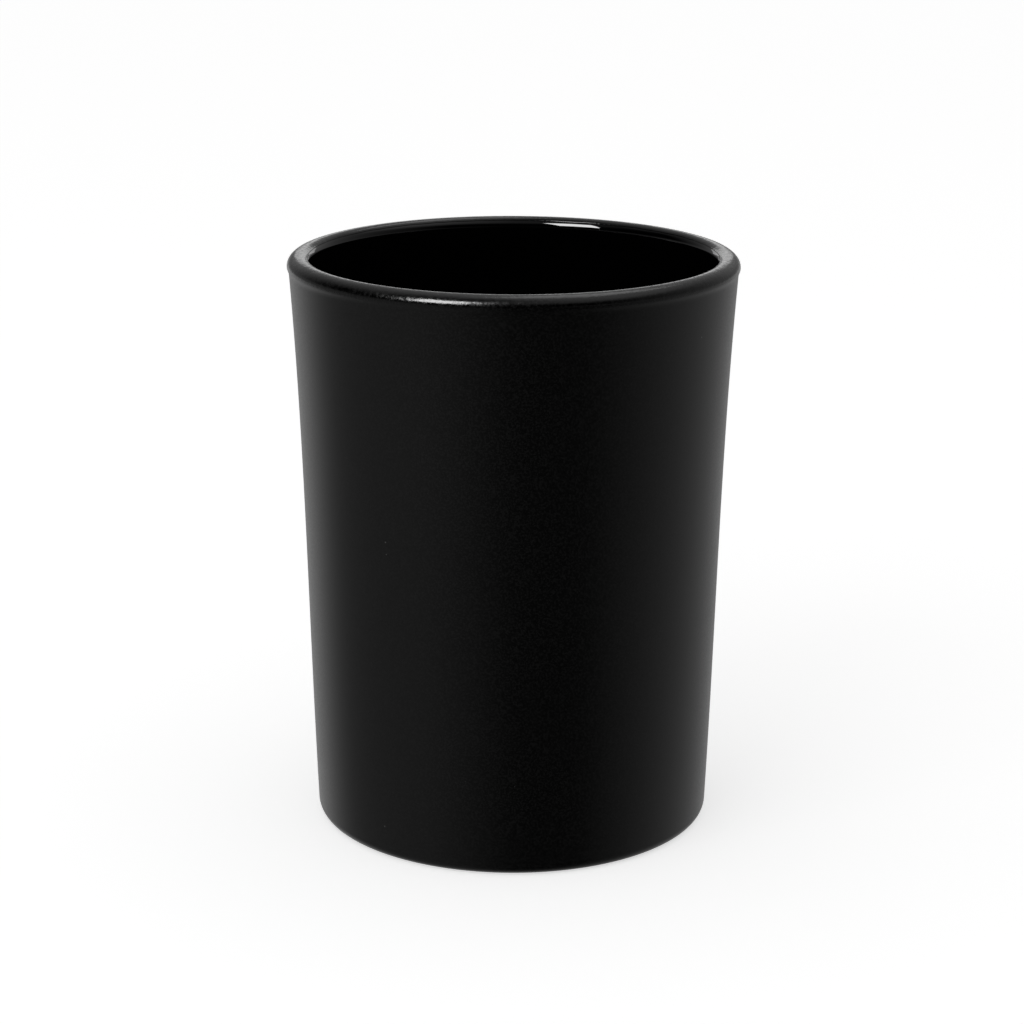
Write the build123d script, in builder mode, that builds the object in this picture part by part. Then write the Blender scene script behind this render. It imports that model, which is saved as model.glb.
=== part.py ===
from build123d import *
from math import asin, cos, degrees, radians, tan
import os

# Empty candle jar: a pressed glass tumbler with a matt black film sprayed on its outside.
# Millimetres, +Z up. The origin is on the jar's axis, in the plane that the foot ring stands on.

# Glass, outside
GLASS_HEIGHT = 103.35       # stand ring to the top of the rim
FOOT_WALL_RADIUS = 35.78    # where the wall meets the round corner at the foot
FOOT_CORNER = 1.9           # radius of that corner
FOOT_FLARE = 2.4            # degrees that the wall leans out above the foot
NECK_RADIUS = 39.54         # at the shallow groove under the rim
NECK_BELOW_RIM = 3.35       # from the top of the rim down to the groove
NECK_FLARE = 4.1            # degrees that the wall leans out at the groove

# Glass, fire-polished rim
RIM_RADIUS = 37.6           # circle along the top of the rim
RIM_OUTWARD = 2.3           # from that circle out to the widest line of the jar
RIM_INWARD = 1.85           # from that circle in to the mouth
RIM_RISE = 1.85             # height of the rounded top
BEAD_HOLLOW = 0.6           # how far the wall's line carries on up from the groove, as a share
BEAD_SHOULDER = 0.3         # how far the rim's upright line carries on down, as a share

# Glass, inside
MOUTH_LAND = 10.0           # straight part of the mouth, where a lid's seal would sit
FLOOR_THICKNESS = 8.0
FLOOR_WALL_RADIUS = 32.6    # inside wall carried down to the floor
FLOOR_CORNER = 7.0          # radius between inside wall and floor
WALL_BELLY = 30.0           # below the land, how soon the inside wall closes in

# Glass, underside
PUSH_UP = 2.0               # rise of the domed underside
STAND_RING_INNER = 28.0     # inner radius of the flat ring that touches the table

# Sprayed film
FILM = 0.1                  # thickness
FILM_FOOT_ANGLE = 62.0      # degrees down round the foot corner where the film ends
FILM_RIM_ANGLE = 135.0      # degrees round the rim, from its widest line, where the film ends
FILM_BASE_RADIUS = 26.5     # edge of the film inside the domed underside

# Places worked out from these
rim_z = GLASS_HEIGHT - RIM_RISE
rim_centre = (RIM_RADIUS, rim_z)
neck_z = GLASS_HEIGHT - NECK_BELOW_RIM
mouth_radius = RIM_RADIUS - RIM_INWARD
land_z = rim_z - MOUTH_LAND
foot_centre = (FOOT_WALL_RADIUS - FOOT_CORNER * cos(radians(FOOT_FLARE)), FOOT_CORNER)
dome_radius = (STAND_RING_INNER**2 + PUSH_UP**2) / (2 * PUSH_UP)
dome_centre = (0, PUSH_UP - dome_radius)


def along_wall(point, flare, rise):
    """The point that lies rise above the given one on a wall that leans out by flare degrees."""
    x, y = point[0], point[1]
    return (x + rise * tan(radians(flare)), y + rise)


def outside_line(lift, foot_angle, rim_angle):
    """The outside of the glass moved out by lift, from the foot corner up and over the rim."""
    corner = CenterArc(foot_centre, FOOT_CORNER + lift, -foot_angle, foot_angle - FOOT_FLARE)
    foot = (corner @ 1).X, (corner @ 1).Y
    neck = (NECK_RADIUS + lift, neck_z)
    third = (neck_z - foot[1]) / 3
    Bezier(foot, along_wall(foot, FOOT_FLARE, third), along_wall(neck, NECK_FLARE, -third), neck)
    widest = (RIM_RADIUS + RIM_OUTWARD + lift, rim_z)
    rise = rim_z - neck_z
    hollow = along_wall(neck, NECK_FLARE, BEAD_HOLLOW * rise)
    Bezier(neck, hollow, along_wall(widest, 0, -BEAD_SHOULDER * rise), widest)
    top = RIM_RISE + lift
    EllipticalCenterArc(rim_centre, RIM_OUTWARD + lift, top, 0, arc_size=90)
    inner = EllipticalCenterArc(rim_centre, RIM_INWARD + lift, top, 90, arc_size=rim_angle - 90)
    return corner @ 0, inner @ 1


def dome_line(drop, reach):
    """The domed underside moved down by drop, from the axis out to the radius reach."""
    span = degrees(asin(reach / dome_radius))
    return CenterArc(dome_centre, dome_radius - drop, 90 - span, span)


# Glass vessel
with BuildPart() as glass_jar:
    with BuildSketch(Plane.XZ):
        with BuildLine():
            foot_point, mouth_point = outside_line(0, 90, 180)
            land = Line(mouth_point, (mouth_radius, land_z))
            belly = (mouth_radius, land_z - WALL_BELLY)
            inside = Bezier(land @ 1, belly, (FLOOR_WALL_RADIUS, FLOOR_THICKNESS))
            floor = Line(inside @ 1, (0, FLOOR_THICKNESS))
            dome = dome_line(0, STAND_RING_INNER)
            Line(floor @ 1, dome @ 1)
            Line(dome @ 0, foot_point)
        make_face()
    revolve(axis=Axis.Z)
    floor_face = glass_jar.faces().filter_by(GeomType.PLANE).sort_by(Axis.Z)[-1]
    fillet(floor_face.edges(), FLOOR_CORNER)

# Film on the outside wall, the foot corner and the rim
with BuildPart() as outer_film:
    with BuildSketch(Plane.XZ):
        with BuildLine():
            glass_start, glass_end = outside_line(0, FILM_FOOT_ANGLE, FILM_RIM_ANGLE)
            film_start, film_end = outside_line(FILM, FILM_FOOT_ANGLE, FILM_RIM_ANGLE)
            Line(glass_start, film_start)
            Line(glass_end, film_end)
        make_face()
    revolve(axis=Axis.Z)

# Film inside the domed underside
with BuildPart() as base_film:
    with BuildSketch(Plane.XZ):
        with BuildLine():
            upper = dome_line(0, FILM_BASE_RADIUS)
            lower = dome_line(FILM, FILM_BASE_RADIUS)
            Line(upper @ 1, lower @ 1)
            Line(upper @ 0, lower @ 0)
        make_face()
    revolve(axis=Axis.Z)

glass_jar.part.label = "glass_jar"
outer_film.part.label = "outer_film"
base_film.part.label = "base_film"

os.makedirs("parts", exist_ok=True)
export_step(glass_jar.part, "parts/glass_jar.step")
export_step(outer_film.part, "parts/outer_film.step")
export_step(base_film.part, "parts/base_film.step")

width = 2 * (RIM_RADIUS + RIM_OUTWARD + FILM)
print("height", round(GLASS_HEIGHT + FILM, 2), "mm, width", round(width, 2), "mm")
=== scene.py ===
# %% [markdown]
# # An empty candle jar
# The jar is one pressed glass tumbler with a thin matt film sprayed on its outside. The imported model
# gives the real size and the three pieces, so it is loaded first and everything else is fitted to it.

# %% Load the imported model
from math import atan, atan2, cos, hypot, pi, radians, sin, tan

import bmesh
import bpy
from mathutils import Matrix, Vector, noise
from mathutils.geometry import interpolate_bezier


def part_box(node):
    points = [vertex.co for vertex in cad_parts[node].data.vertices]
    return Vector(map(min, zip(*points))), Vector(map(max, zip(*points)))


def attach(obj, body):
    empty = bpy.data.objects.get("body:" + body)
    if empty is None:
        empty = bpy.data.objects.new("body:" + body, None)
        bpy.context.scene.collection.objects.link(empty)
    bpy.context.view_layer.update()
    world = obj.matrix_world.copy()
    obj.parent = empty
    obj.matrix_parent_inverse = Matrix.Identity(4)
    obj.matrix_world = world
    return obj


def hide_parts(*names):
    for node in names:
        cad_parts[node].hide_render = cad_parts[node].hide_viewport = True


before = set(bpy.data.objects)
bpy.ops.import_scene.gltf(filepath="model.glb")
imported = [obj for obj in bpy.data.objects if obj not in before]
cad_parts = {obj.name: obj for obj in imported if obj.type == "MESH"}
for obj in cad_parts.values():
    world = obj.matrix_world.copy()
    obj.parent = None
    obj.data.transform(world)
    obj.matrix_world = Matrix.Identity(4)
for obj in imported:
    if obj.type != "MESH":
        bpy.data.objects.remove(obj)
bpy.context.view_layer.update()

# %% [markdown]
# ## Measures
# The size of each piece is read from its CAD node. What a box can't tell, such as the roundness of the
# rim or the lean of the wall, is given here as a few driving values, in metres and degrees.

# %% Measures of the outside
glass_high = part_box("glass_jar")[1]
film_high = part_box("outer_film")[1]
base_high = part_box("base_film")[1]

FILM = film_high.z - glass_high.z
GLASS_HEIGHT = glass_high.z
RIM_OUTWARD = 0.0023
RIM_INWARD = 0.00185
RIM_RISE = 0.00185
RIM_RADIUS = glass_high.x - RIM_OUTWARD
RIM_Z = GLASS_HEIGHT - RIM_RISE
FOOT_WALL_RADIUS = 0.03578
FOOT_CORNER = 0.0019
FOOT_FLARE = radians(2.4)
NECK_RADIUS = 0.03954
NECK_BELOW_RIM = 0.00335
NECK_Z = GLASS_HEIGHT - NECK_BELOW_RIM
NECK_FLARE = radians(4.1)
BEAD_HOLLOW = 0.6
BEAD_SHOULDER = 0.3
foot_centre = (FOOT_WALL_RADIUS - FOOT_CORNER * cos(FOOT_FLARE), FOOT_CORNER)
print("film", round(FILM * 1000, 3), "mm thick, rim circle", round(RIM_RADIUS * 1000, 2), "mm")

# %% Measures of the inside and the underside
MOUTH_LAND = 0.010
FLOOR_THICKNESS = 0.008
FLOOR_WALL_RADIUS = 0.0326
FLOOR_CORNER = 0.007
WALL_BELLY = 0.030
PUSH_UP = 0.002
STAND_RING_INNER = 0.028
dome_radius = (STAND_RING_INNER**2 + PUSH_UP**2) / (2 * PUSH_UP)
dome_centre = (0, PUSH_UP - dome_radius)
print("dome radius", round(dome_radius * 1000, 1), "mm")

# %% [markdown]
# ## A lathe for glass
# Glass tumblers are round because the mould is, so a profile turned about the axis is the true shape.
# A Screw modifier could turn it too, but `bmesh.ops.spin` leaves plain geometry that can be worked on
# afterwards. A profile is a short run of named curves: arcs for the corners, a Bezier for the wall.

# %% Curves of a profile
def arc(centre, radii, start, end, steps):
    """Points (x, z) round part of an ellipse, angles in radians."""
    turn = (end - start) / steps
    angles = [start + turn * i for i in range(steps + 1)]
    return [(centre[0] + radii[0] * cos(a), centre[1] + radii[1] * sin(a)) for a in angles]


def bend(start, start_handle, end_handle, end, steps):
    """Points (x, z) along one Bezier curve."""
    flat = [Vector((p[0], p[1], 0)) for p in (start, start_handle, end_handle, end)]
    return [(p.x, p.y) for p in interpolate_bezier(*flat, steps + 1)]


def along_wall(point, flare, rise):
    """The point rise above the given one, on a wall that leans out by flare."""
    return (point[0] + rise * tan(flare), point[1] + rise)


# %% Turn a profile
TURNS = 256
SAME_PLACE = 1e-7


def join(line):
    """The same points without the ones that repeat where two curves meet."""
    kept = [line[0]]
    for point in line[1:]:
        if hypot(point[0] - kept[-1][0], point[1] - kept[-1][1]) > SAME_PLACE:
            kept.append(point)
    return kept


def lathe(name, profile, closed=False):
    """A solid of revolution about Z, from a profile that ends on the axis or closes on itself."""
    bm = bmesh.new()
    verts = [bm.verts.new((x, 0, z)) for x, z in join(profile)]
    pairs = list(zip(verts, verts[1:]))
    if closed:
        pairs.append((verts[-1], verts[0]))
    edges = [bm.edges.new(pair) for pair in pairs]
    bmesh.ops.spin(
        bm, geom=verts + edges, cent=(0, 0, 0), axis=(0, 0, 1), angle=2 * pi, steps=TURNS, use_merge=True
    )
    bmesh.ops.remove_doubles(bm, verts=bm.verts, dist=SAME_PLACE)
    bmesh.ops.recalc_face_normals(bm, faces=bm.faces)
    mesh = bpy.data.meshes.new(name)
    bm.to_mesh(mesh)
    bm.free()
    mesh.shade_smooth()
    piece = bpy.data.objects.new(name, mesh)
    bpy.context.scene.collection.objects.link(piece)
    print(name, "has", len(mesh.polygons), "faces")
    return piece


# %% [markdown]
# ## The outside line
# The glass and the film share one outside line. The film is the same line moved out by its thickness,
# so the two pieces touch all the way and the film has an even thickness, as a sprayed coat does. Each
# curve gets enough steps that its facets don't show in a highlight.

# %% The outside line of the jar
CORNER_STEPS = 14
WALL_STEPS = 40
BEAD_STEPS = 12
RIM_STEPS = 16


def outside_line(lift, foot_angle, rim_angle):
    """From the foot corner up the wall and over the rim, moved out by lift."""
    reach = FOOT_CORNER + lift
    line = arc(foot_centre, (reach, reach), -foot_angle, -FOOT_FLARE, CORNER_STEPS)
    foot = line[-1]
    neck = (NECK_RADIUS + lift, NECK_Z)
    third = (NECK_Z - foot[1]) / 3
    foot_handle = along_wall(foot, FOOT_FLARE, third)
    neck_handle = along_wall(neck, NECK_FLARE, -third)
    line += bend(foot, foot_handle, neck_handle, neck, WALL_STEPS)
    widest = (RIM_RADIUS + RIM_OUTWARD + lift, RIM_Z)
    rise = RIM_Z - NECK_Z
    hollow = along_wall(neck, NECK_FLARE, BEAD_HOLLOW * rise)
    shoulder = along_wall(widest, 0, -BEAD_SHOULDER * rise)
    line += bend(neck, hollow, shoulder, widest, BEAD_STEPS)
    centre = (RIM_RADIUS, RIM_Z)
    line += arc(centre, (RIM_OUTWARD + lift, RIM_RISE + lift), 0, pi / 2, RIM_STEPS)
    line += arc(centre, (RIM_INWARD + lift, RIM_RISE + lift), pi / 2, rim_angle, RIM_STEPS)
    return line


# %% [markdown]
# ## The glass
# A thick floor, a wall of about 3 mm and a rim that was melted round in a flame. The rim's inner side
# runs into a short straight land, then the wall closes in gently to a generous corner at the floor.

# %% The inside line
FLOOR_CORNER_STEPS = 16
land_z = RIM_Z - MOUTH_LAND
mouth = RIM_RADIUS - RIM_INWARD
belly = Vector((mouth, land_z - WALL_BELLY))
wall_start, wall_end = Vector((mouth, land_z)), Vector((FLOOR_WALL_RADIUS, FLOOR_THICKNESS))
start_handle, end_handle = wall_start.lerp(belly, 2 / 3), wall_end.lerp(belly, 2 / 3)
inside_wall = bend(wall_start, start_handle, end_handle, wall_end, WALL_STEPS)
lean = (belly.x - wall_end.x) / (belly.y - wall_end.y)
corner_x = FLOOR_WALL_RADIUS + FLOOR_CORNER * (lean - hypot(1, lean))
corner_centre = (corner_x, FLOOR_THICKNESS + FLOOR_CORNER)
corner = arc(corner_centre, (FLOOR_CORNER, FLOOR_CORNER), -atan(lean), -pi / 2, FLOOR_CORNER_STEPS)
print("mouth radius", round(mouth * 1000, 2), "mm, flat floor radius", round(corner_x * 1000, 2), "mm")

# %% Make the glass
FLOOR_RINGS = (0.66, 0.33, 0)
DOME_STEPS = 20
glass_line = outside_line(0, pi / 2, pi)
glass_line += [(mouth, RIM_Z - MOUTH_LAND / 2), (mouth, land_z)]
glass_line += [point for point in inside_wall if point[1] > corner[0][1]] + corner
glass_line += [(corner_x * share, FLOOR_THICKNESS) for share in FLOOR_RINGS]
ring_turn = atan2(STAND_RING_INNER, dome_radius - PUSH_UP)
glass_line += arc(dome_centre, (dome_radius, dome_radius), pi / 2, pi / 2 - ring_turn, DOME_STEPS)
glass_line += [(foot_centre[0], 0)]
glass = lathe("jar_glass", glass_line)
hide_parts("glass_jar")
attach(glass, "root")

# %% [markdown]
# ## The film outside
# A sprayed coat thins out where the spray stops reaching: below the foot's corner and on the inner side
# of the rim. Its thickness therefore tapers to an edge instead of ending in a step, and on the rim that
# edge wanders a little, because nothing masks it.

# %% A film that thins towards its edges
FEATHER = 0.0006
THINNEST = 0.2


def feathered(outer, inner):
    """The outer line drawn back towards the inner one near both of its ends."""
    steps = [hypot(b[0] - a[0], b[1] - a[1]) for a, b in zip(outer, outer[1:])]
    whole, gone, line = sum(steps), 0, []
    for (ox, oz), (ix, iz), step in zip(outer, inner, steps + [0]):
        near = min(1, min(gone, whole - gone) / FEATHER)
        thick = THINNEST + (1 - THINNEST) * near**0.5
        line.append((ix + (ox - ix) * thick, iz + (oz - iz) * thick))
        gone += step
    return line


# %% Make the outer film
FOOT_EDGE = radians(62)
RIM_EDGE = radians(135)
film_outside = outside_line(FILM, FOOT_EDGE, RIM_EDGE)
film_inside = outside_line(0, FOOT_EDGE, RIM_EDGE)
film = lathe("matt_film", feathered(film_outside, film_inside) + film_inside[::-1], closed=True)

# %% Let the film's edge wander along the rim
WANDER = 0.06
WANDER_WAVES = 9
WANDER_RAGGED = 2.3


def wander(piece):
    """Moves the film's inner edge up and down the rim by a slow noise round the jar."""
    for vert in piece.data.vertices:
        radius = hypot(vert.co.x, vert.co.y)
        across, up = (RIM_RADIUS - radius) / RIM_INWARD, (vert.co.z - RIM_Z) / RIM_RISE
        if across <= 0 or up <= 0:
            continue
        size, turn = hypot(across, up), atan2(across, up)
        place = Vector((vert.co.x, vert.co.y, 0)) / radius * WANDER_WAVES
        turn *= 1 + WANDER * (noise.noise(place) + noise.noise(place * WANDER_RAGGED) / 2)
        new_radius = RIM_RADIUS - RIM_INWARD * size * sin(turn)
        vert.co.x *= new_radius / radius
        vert.co.y *= new_radius / radius
        vert.co.z = RIM_Z + RIM_RISE * size * cos(turn)


wander(film)
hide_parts("outer_film")
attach(film, "root")

# %% [markdown]
# ## The film underneath
# The same spray reaches into the domed underside, but not onto the ring that the jar stands on, which is
# wiped bare so that the jar doesn't stick to the line's belt.

# %% Make the film underneath
BASE_EDGE = base_high.x
edge_turn = atan2(BASE_EDGE, (dome_radius**2 - BASE_EDGE**2) ** 0.5)


def dome(drop):
    """The domed underside moved down by drop, from the axis outwards."""
    radius = dome_radius - drop
    return arc(dome_centre, (radius, radius), pi / 2, pi / 2 - edge_turn, DOME_STEPS)


base = lathe("underside_film", dome(FILM) + dome(0)[::-1])
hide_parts("base_film")
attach(base, "root")

# %% [markdown]
# ## Helpers for node trees
# Materials here are procedural: every pattern is worked out from the surface's own place on the jar, so
# it stays put when the jar turns and it needs no picture file.

# %% Add a node
def add(tree, kind, place, **values):
    """A node with its inputs set by name; other nodes' sockets are linked and plain values are set."""
    node = tree.nodes.new(kind)
    node.location = place
    for key, value in values.items():
        name = key.replace("_", " ")
        if hasattr(node, key) and name not in node.inputs:
            setattr(node, key, value)
        elif isinstance(value, bpy.types.NodeSocket):
            tree.links.new(value, node.inputs[name])
        else:
            node.inputs[name].default_value = value
    return node


def fill_in(tree, node, terms):
    """Gives a node its inputs by index or name, each a socket to link or a plain value."""
    for index, term in terms.items():
        if isinstance(term, bpy.types.NodeSocket):
            tree.links.new(term, node.inputs[index])
        else:
            node.inputs[index].default_value = term
    return node


# %% Sums, blends and steps
def sum_of(tree, place, operation, *terms):
    """A Math node over sockets or numbers; returns its result."""
    node = add(tree, "ShaderNodeMath", place, operation=operation)
    return fill_in(tree, node, dict(enumerate(terms))).outputs[0]


COLOUR_A, COLOUR_B, COLOUR_RESULT = 6, 7, 2


def blend(tree, place, share, low, high):
    """A colour that goes from low to high as share goes from 0 to 1."""
    node = add(tree, "ShaderNodeMix", place, data_type="RGBA", Factor=share)
    return fill_in(tree, node, {COLOUR_A: low, COLOUR_B: high}).outputs[COLOUR_RESULT]


def step_up(tree, place, value, low, high, to_low=0.0, to_high=1.0):
    """Goes smoothly from to_low to to_high while value goes from low to high."""
    node = add(
        tree, "ShaderNodeMapRange", place, interpolation_type="SMOOTHSTEP",
        Value=value, From_Min=low, From_Max=high, To_Min=to_low, To_Max=to_high,
    )
    return node.outputs["Result"]


NOISE_SPAN = (0.3, 0.7)


def noise_of(tree, place, where, scale, detail):
    """Noise with features about 1 / scale metres across; most of its values lie in NOISE_SPAN."""
    return add(tree, "ShaderNodeTexNoise", place, Vector=where, Scale=scale, Detail=detail).outputs["Fac"]


# %% Groups and materials
def group(name, inputs, outputs):
    """An empty node group with named inputs and outputs, and its input and output nodes."""
    tree = bpy.data.node_groups.new(name, "ShaderNodeTree")
    for label, value in inputs.items():
        kind = "NodeSocketVector" if value is None else "NodeSocketFloat"
        socket = tree.interface.new_socket(name=label, in_out="INPUT", socket_type=kind)
        if value is not None:
            socket.default_value = value
    for label in outputs:
        tree.interface.new_socket(name=label, in_out="OUTPUT", socket_type="NodeSocketFloat")
    start, end = tree.nodes.new("NodeGroupInput"), tree.nodes.new("NodeGroupOutput")
    start.location, end.location = (-900, 0), (600, 0)
    return tree, start, end


def use(tree, shared, place, **values):
    """Places a shared group in a material with its own values."""
    node = tree.nodes.new("ShaderNodeGroup")
    node.node_tree = shared
    node.location = place
    return fill_in(tree, node, values)


def material(name):
    """A new material; returns it with its node tree and its Principled BSDF."""
    made = bpy.data.materials.new(name)
    made.use_nodes = True
    return made, made.node_tree, made.node_tree.nodes["Principled BSDF"]


# %% [markdown]
# ## Shared effects
# Three effects are made once and used where needed: relief and bump on more than one finish, dust on
# the matt film only. Sprayed relief is the fine tooth of a matt coat on a slow ripple, the orange peel of
# droplets that didn't level. Dust is a scatter of pale specks far apart. A bump turns a height in metres
# into a bent normal.

# %% Sprayed relief
TOOTH_SCALE = 5200.0
RIPPLE_SCALE = 1100.0

relief, relief_in, relief_out = group(
    "sprayed_relief", {"Place": None, "Tooth": 0.0, "Ripple": 0.0}, ["Height"]
)
tooth = noise_of(relief, (-500, 200), relief_in.outputs["Place"], TOOTH_SCALE, 1.0)
ripple = noise_of(relief, (-500, -200), relief_in.outputs["Place"], RIPPLE_SCALE, 2.0)
tooth_height = sum_of(relief, (-100, 200), "MULTIPLY", tooth, relief_in.outputs["Tooth"])
ripple_height = sum_of(relief, (-100, -200), "MULTIPLY", ripple, relief_in.outputs["Ripple"])
height = sum_of(relief, (200, 0), "ADD", tooth_height, ripple_height)
relief.links.new(height, relief_out.inputs["Height"])
print("sprayed relief has", len(relief.nodes), "nodes")

# %% Dust
dust, dust_in, dust_out = group(
    "dust", {"Place": None, "Spacing": 0.004, "Speck": 0.03, "Share": 0.2}, ["Mask"]
)
density = sum_of(dust, (-700, -200), "DIVIDE", 1.0, dust_in.outputs["Spacing"])
cells = add(dust, "ShaderNodeTexVoronoi", (-500, 0), Vector=dust_in.outputs["Place"], Scale=density)
inside_speck = sum_of(dust, (-200, 100), "LESS_THAN", cells.outputs["Distance"], dust_in.outputs["Speck"])
picked = add(dust, "ShaderNodeSeparateColor", (-300, -200), Color=cells.outputs["Color"])
chosen = sum_of(dust, (-100, -200), "LESS_THAN", picked.outputs[0], dust_in.outputs["Share"])
dust.links.new(sum_of(dust, (200, 0), "MULTIPLY", inside_speck, chosen), dust_out.inputs["Mask"])
print("dust has", len(dust.nodes), "nodes")


# %% Bump
def bump(tree, place, height, distance, shader):
    """Bends the shader's normal by a height; distance is what a height of 1 stands for, in metres."""
    node = add(tree, "ShaderNodeBump", place, Strength=1.0, Distance=distance, Height=height)
    tree.links.new(node.outputs["Normal"], shader.inputs["Normal"])


# %% [markdown]
# ## Matt film
# The spray dries matt on the wall. On the rim, where the glass was melted smooth and the coat is handled
# most, it is closer to satin, with the ripple showing in its highlights. The inner lip, where the coat is
# thinnest, is nearly gloss. So the finish needs two masks: one by height and one by radius.

# %% Where the rim and its lip are
RIM_BLEND = 0.0006
LIP_INNER = RIM_RADIUS - 0.001
LIP_OUTER = RIM_RADIUS + 0.0008
LEVEL_WITH_FLOOR = (1, 1, 0)

matt, tree, shader = material("matt_black_film")
place = add(tree, "ShaderNodeTexCoord", (-1500, 0)).outputs["Object"]
level = add(tree, "ShaderNodeSeparateXYZ", (-1300, -200), Vector=place).outputs["Z"]
on_rim = step_up(tree, (-1100, -200), level, RIM_Z - RIM_BLEND, RIM_Z + RIM_BLEND)
flat_place = add(tree, "ShaderNodeVectorMath", (-1300, -700), operation="MULTIPLY")
fill_in(tree, flat_place, {0: place, 1: LEVEL_WITH_FLOOR})
from_axis = add(tree, "ShaderNodeVectorMath", (-1100, -700), operation="LENGTH")
fill_in(tree, from_axis, {0: flat_place.outputs[0]})
inward = step_up(tree, (-900, -700), from_axis.outputs["Value"], LIP_INNER, LIP_OUTER, 1, 0)
on_lip = sum_of(tree, (-700, -600), "MULTIPLY", inward, on_rim)
print("the lip runs from", round(LIP_INNER * 1000, 1), "to", round(LIP_OUTER * 1000, 1), "mm")

# %% [markdown]
# The grain of the dried spray is finer than a millimetre. It varies both the film's grey and its
# roughness, and a coarser mottle makes the satin rim uneven where fingers have been.

# %% How rough the film is
BODY_ROUGHNESS = 0.32
RIM_ROUGHNESS = 0.18
LIP_ROUGHNESS = 0.08
GRAIN_SCALE = 3000.0
GRAIN_ROUGHNESS = 0.03
MOTTLE_SCALE = 1400.0
MOTTLE_SPAN = (0.35, 0.65)
MOTTLE_SMOOTHER = -0.05
MOTTLE_ROUGHER = 0.07

grain = noise_of(tree, (-1100, 600), place, GRAIN_SCALE, 1.0)
mottle = noise_of(tree, (-1100, -500), place, MOTTLE_SCALE, 3.0)
roughness = step_up(tree, (-900, -200), on_rim, 0, 1, BODY_ROUGHNESS, RIM_ROUGHNESS)
uneven = step_up(tree, (-900, -500), mottle, *MOTTLE_SPAN, MOTTLE_SMOOTHER, MOTTLE_ROUGHER)
rim_uneven = sum_of(tree, (-700, -400), "MULTIPLY", uneven, on_rim)
grain_uneven = step_up(tree, (-700, 400), grain, *NOISE_SPAN, -GRAIN_ROUGHNESS, GRAIN_ROUGHNESS)
smoother = sum_of(tree, (-500, -500), "MULTIPLY", on_lip, LIP_ROUGHNESS - RIM_ROUGHNESS)
for step, change in enumerate((rim_uneven, grain_uneven, smoother)):
    roughness = sum_of(tree, (-600 + 100 * step, -200), "ADD", roughness, change)
tree.links.new(roughness, shader.inputs["Roughness"])
print("the film's roughness is", BODY_ROUGHNESS, "on the wall and", RIM_ROUGHNESS, "on the rim")

# %% What colour the film is
FILM_BLACK = (0, 0, 0, 1)
FILM_GRAIN = (0.0036, 0.0036, 0.0036, 1)
GRAIN_SPAN = (0.42, 0.66)
DUST_GREY = (0.07, 0.07, 0.068, 1)
SPECKS = {"Spacing": 0.0045, "Speck": 0.03, "Share": 0.25}

specks = use(tree, dust, (-900, 300), Place=place, **SPECKS)
grey_share = step_up(tree, (-900, 600), grain, *GRAIN_SPAN)
coat = blend(tree, (-700, 500), grey_share, FILM_BLACK, FILM_GRAIN)
colour = blend(tree, (-500, 300), specks.outputs["Mask"], coat, DUST_GREY)
tree.links.new(colour, shader.inputs["Base Color"])
print("one speck of dust in", round(1 / SPECKS["Share"]), "cells of", SPECKS["Spacing"] * 1000, "mm")

# %% How deep the film's relief is
TOOTH_DEPTH = 0.000002
BODY_RIPPLE = 0.000002
RIM_RIPPLE = 0.000034

ripple_depth = step_up(tree, (-900, 0), on_rim, 0, 1, BODY_RIPPLE, RIM_RIPPLE)
film_relief = use(tree, relief, (-600, 50), Place=place, Tooth=TOOTH_DEPTH, Ripple=ripple_depth)
bump(tree, (-300, 0), film_relief.outputs["Height"], 1.0, shader)
film.data.materials.append(matt)
print(matt.name, "has", len(tree.nodes), "nodes")

# %% [markdown]
# ## Matt film underneath
# Here the coat lands from far away and half dry, so it is rougher than on the wall and cloudy.

# %% Matt film, underneath
UNDER_GREY = (0.0024, 0.0024, 0.0024, 1)
UNDER_RIPPLE = 0.000006
CLOUD_SCALE = 260.0
CLOUD_ROUGHNESS = (0.46, 0.56)

under, tree, shader = material("matt_film_underside")
place = add(tree, "ShaderNodeTexCoord", (-1100, 0)).outputs["Object"]
shader.inputs["Base Color"].default_value = UNDER_GREY
clouds = noise_of(tree, (-800, -300), place, CLOUD_SCALE, 3.0)
cloudy = step_up(tree, (-500, -300), clouds, *NOISE_SPAN, *CLOUD_ROUGHNESS)
tree.links.new(cloudy, shader.inputs["Roughness"])
under_relief = use(tree, relief, (-600, 50), Place=place, Tooth=TOOTH_DEPTH, Ripple=UNDER_RIPPLE)
bump(tree, (-300, 0), under_relief.outputs["Height"], 1.0, shader)
base.data.materials.append(under)
print(under.name, "has", len(tree.nodes), "nodes")

# %% [markdown]
# ## Black glass
# Inside, the jar is bare gloss black. Pressed glass is smooth but never optically flat, so a slow, very
# shallow swell bends its reflections. The stand ring is scuffed grey by every table it has stood on.

# %% Black glass
GLASS_BLACK = (0.0006, 0.0006, 0.0007, 1)
GLASS_IOR = 1.52
GLASS_ROUGHNESS = 0.035
SCUFF_LEVEL = (0.00002, 0.00012)
SCUFF_SCALE = 900.0
SCUFF_SPAN = (0.35, 0.7)
SCUFF_ROUGHNESS = (0.12, 0.45)
SWELL_SCALE = 60.0
SWELL_DEPTH = 0.00012

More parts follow.
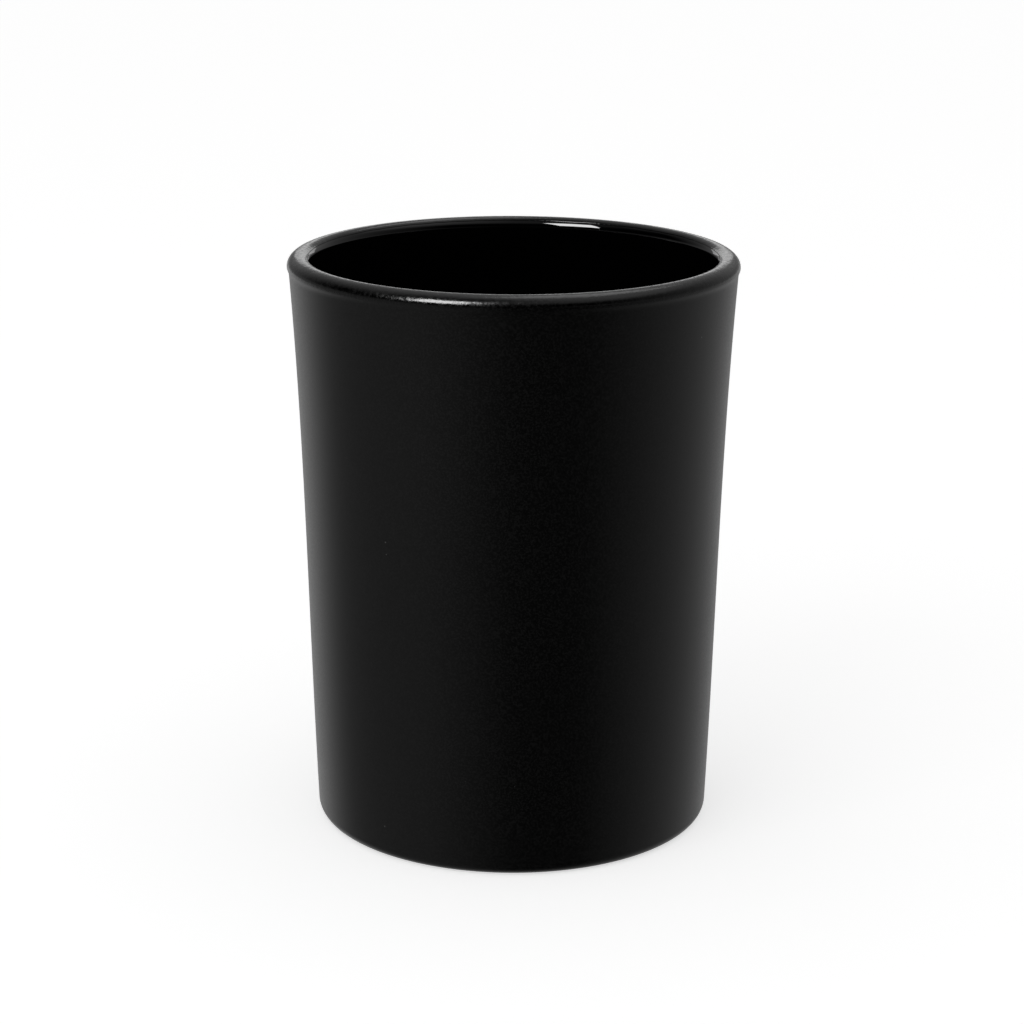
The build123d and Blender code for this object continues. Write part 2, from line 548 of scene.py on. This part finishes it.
gloss, tree, shader = material("gloss_black_glass")
shader.inputs["Base Color"].default_value = GLASS_BLACK
shader.inputs["IOR"].default_value = GLASS_IOR
place = add(tree, "ShaderNodeTexCoord", (-1300, 0)).outputs["Object"]
level = add(tree, "ShaderNodeSeparateXYZ", (-1100, -200), Vector=place).outputs["Z"]
off_table = step_up(tree, (-900, -200), level, *SCUFF_LEVEL)
scuffs = noise_of(tree, (-900, -500), place, SCUFF_SCALE, 5.0)
worn = step_up(tree, (-700, -500), scuffs, *SCUFF_SPAN, *SCUFF_ROUGHNESS)
worn_or_not = add(tree, "ShaderNodeMix", (-400, -300))
fill_in(tree, worn_or_not, {0: off_table, 2: worn, 3: GLASS_ROUGHNESS})
tree.links.new(worn_or_not.outputs[0], shader.inputs["Roughness"])
swell = noise_of(tree, (-900, 200), place, SWELL_SCALE, 1.0)
bump(tree, (-300, 200), swell, SWELL_DEPTH, shader)
glass.data.materials.append(gloss)
print(gloss.name, "has", len(tree.nodes), "nodes")

# %% [markdown]
# ## Camera
# The jar is seen from a little above, through a long lens, which keeps the sides of the wall nearly
# straight. The camera stands on a circle round the point it is aimed at.

# %% Camera
LENS = 94.46
SENSOR_WIDTH = 36
NEAREST_SEEN = 0.01
DISTANCE = 0.4874
PITCH = radians(16.05)
ROLL = radians(0.209)
AIM = Vector((-0.00015, 0, 0.05577))
camera = bpy.data.objects.new("camera", bpy.data.cameras.new("camera"))
bpy.context.scene.collection.objects.link(camera)
camera.data.lens = LENS
camera.data.sensor_width = SENSOR_WIDTH
camera.data.clip_start = NEAREST_SEEN
camera.location = (0, -DISTANCE * cos(PITCH), AIM.z + DISTANCE * sin(PITCH))
facing = (AIM - camera.location).to_track_quat("-Z", "Y").to_matrix()
camera.rotation_euler = (facing @ Matrix.Rotation(ROLL, 3, "Z")).to_euler()
bpy.context.scene.camera = camera
print("camera", round(camera.location.z * 1000), "mm above the floor")

# %% [markdown]
# ## Floor
# A white card. Part of its brightness is its own, as on a light table, so the jar's shadow stays faint.
# Mirrored and bounced rays pass it by, so that the wall of the jar mirrors the room's greys instead.

# %% Floor
FLOOR_SIZE = 4
CARD_WHITE = (0.8, 0.8, 0.8, 1)
CARD_GLOW = 0.59
WHITE = (1, 1, 1, 1)

bm = bmesh.new()
bmesh.ops.create_grid(bm, x_segments=1, y_segments=1, size=FLOOR_SIZE)
floor_mesh = bpy.data.meshes.new("floor")
bm.to_mesh(floor_mesh)
bm.free()
floor = bpy.data.objects.new("floor", floor_mesh)
bpy.context.scene.collection.objects.link(floor)
card, tree, shader = material("white_card")
shader.inputs["Base Color"].default_value = CARD_WHITE
shader.inputs["Specular IOR Level"].default_value = 0
shader.inputs["Roughness"].default_value = 1
shader.inputs["Emission Color"].default_value = WHITE
shader.inputs["Emission Strength"].default_value = CARD_GLOW
floor_mesh.materials.append(card)
floor.visible_glossy = False
floor.visible_diffuse = False

# %% [markdown]
# ## Light
# A large softbox stands to the front left, above the rim, and makes the streaks along the rim. It only
# shines in mirrored rays; a wash from nearly the same place makes the soft shadow, so the two can be set
# apart. A white panel high up behind gives the rim a second, faint streak, and a small card low behind
# the jar draws the pale line along the inner lip.

# %% Softboxes
BEHIND = 180


def softbox(name, azimuth, elevation, distance, size, power):
    """An area light that faces the rim, azimuth degrees to the left of the camera."""
    lamp = bpy.data.lights.new(name, "AREA")
    lamp.shape = "RECTANGLE"
    lamp.size, lamp.size_y = size
    lamp.energy = power
    around, up = radians(azimuth), radians(elevation)
    towards = Vector((-sin(around) * cos(up), -cos(around) * cos(up), sin(up)))
    stand = bpy.data.objects.new(name, lamp)
    stand.location = Vector((0, 0, RIM_Z)) + towards * distance
    stand.rotation_euler = towards.to_track_quat("Z", "Y").to_euler()
    bpy.context.scene.collection.objects.link(stand)
    print(name, "shines with", power, "W")
    return stand


key = softbox("softbox", 42.5, 42, 0.9, (0.39, 0.42), 8.6)
wash = softbox("softbox_wash", 37, 34, 0.9, (0.6, 0.5), 1.06)
panel = softbox("white_panel", -163, 57, 0.9, (0.35, 0.5), 0.45)
card_behind = softbox("card_behind", BEHIND, 10.4, 0.305, (0.2, 0.06), 0.031)
wash.visible_glossy = False
for mirrored_only in (key, panel, card_behind):
    mirrored_only.visible_diffuse = False

# %% [markdown]
# The room is four bands of grey, one above the other, and each has its own greys all the way round. The
# low band is what the wall of the jar mirrors, because the wall leans outwards. It is lightest behind the
# jar, which draws the jar's pale edges; to the right it falls away evenly, and to the left it drops to a
# level grey. The dim horizon keeps the outer side of the rim dark, and the middle and high bands are what
# its top and its inner side mirror. In front of the jar the room is nearly black.

# %% Greys of the room
BEHIND_GREY = 0.6
MIDDLE_GREY = 0.4
LEFT_GREY = 0.2
FRONT_GREY = 0.02

ROOM = {
    "low": (
        (-180, FRONT_GREY), (-130, LEFT_GREY), (-70, LEFT_GREY), (-40, BEHIND_GREY), (0, BEHIND_GREY),
        (140, FRONT_GREY), (180, FRONT_GREY),
    ),
    "horizon": ((-180, 0.0), (-90, 0.15), (-50, 0.2), (0, 0.2), (50, 0.25), (90, 0.2), (180, 0.0)),
    "middle": ((-180, 0.0), (-70, 0.0), (0, MIDDLE_GREY), (140, 0.0), (180, 0.0)),
    "high": ((-180, 0.2), (-90, 0.1), (0, 0.55), (90, 0.6), (180, 0.2)),
}
BORDERS = ((-0.1, 0.02), (0.1, 0.25), (0.53, 0.86))
FULL_TURN = 360

world = bpy.data.worlds.new("room")
bpy.context.scene.world = world
world.use_nodes = True
tree = world.node_tree
tree.nodes.clear()
aim = add(tree, "ShaderNodeTexCoord", (-1500, 0)).outputs["Generated"]
parts = add(tree, "ShaderNodeSeparateXYZ", (-1300, 0), Vector=aim)
heading = sum_of(tree, (-1100, 0), "ARCTAN2", parts.outputs["X"], parts.outputs["Y"])
turned = sum_of(tree, (-900, 0), "MULTIPLY_ADD", heading, 0.5 / pi, 0.5)

# %% [markdown]
# Each band is a colour ramp over the heading, with stops in degrees to the right of straight behind the
# jar. The borders between the bands are soft, and are given as sines of the elevation, which is what the
# height of a direction is.

# %% Bands of the room
def grey_band(name, stops, row):
    """Greys round the room, each at its angle to the right of straight behind the jar."""
    node = add(tree, "ShaderNodeValToRGB", (-600, row), label=name, Fac=turned)
    for position, grey in stops[1:-1]:
        node.color_ramp.elements.new(0.5 + position / FULL_TURN).color = (grey, grey, grey, 1)
    for end in (0, -1):
        grey = stops[end][1]
        node.color_ramp.elements[end].color = (grey, grey, grey, 1)
    return node.outputs["Color"]


rows = enumerate(ROOM.items())
greys, *upper_bands = [grey_band(name, stops, 300 - 300 * row) for row, (name, stops) in rows]
for i, (border, band) in enumerate(zip(BORDERS, upper_bands)):
    share = step_up(tree, (-300, -300 - 200 * i), parts.outputs["Z"], *border)
    greys = blend(tree, (-300 + 200 * i, 200), share, greys, band)
print("the room has", len(ROOM), "bands")

# %% [markdown]
# A mirrored ray sees these greys, the camera sees plain white behind the jar, and every other ray sees an
# even white that fills the shadow.

# %% What each kind of ray sees of the room
FILL = 0.49
seen = add(tree, "ShaderNodeBackground", (100, 200), Color=WHITE, Strength=1.0)
room = add(tree, "ShaderNodeBackground", (100, 0), Color=greys, Strength=1.0)
fill = add(tree, "ShaderNodeBackground", (100, -200), Color=WHITE, Strength=FILL)
ray = add(tree, "ShaderNodeLightPath", (100, 500))
glossy_or_not = add(tree, "ShaderNodeMixShader", (400, 0), Fac=ray.outputs["Is Glossy Ray"])
fill_in(tree, glossy_or_not, {1: fill.outputs[0], 2: room.outputs[0]})
camera_or_not = add(tree, "ShaderNodeMixShader", (600, 0), Fac=ray.outputs["Is Camera Ray"])
fill_in(tree, camera_or_not, {1: glossy_or_not.outputs[0], 2: seen.outputs[0]})
add(tree, "ShaderNodeOutputWorld", (800, 0), Surface=camera_or_not.outputs[0])

bpy.context.scene.view_settings.view_transform = "Standard"
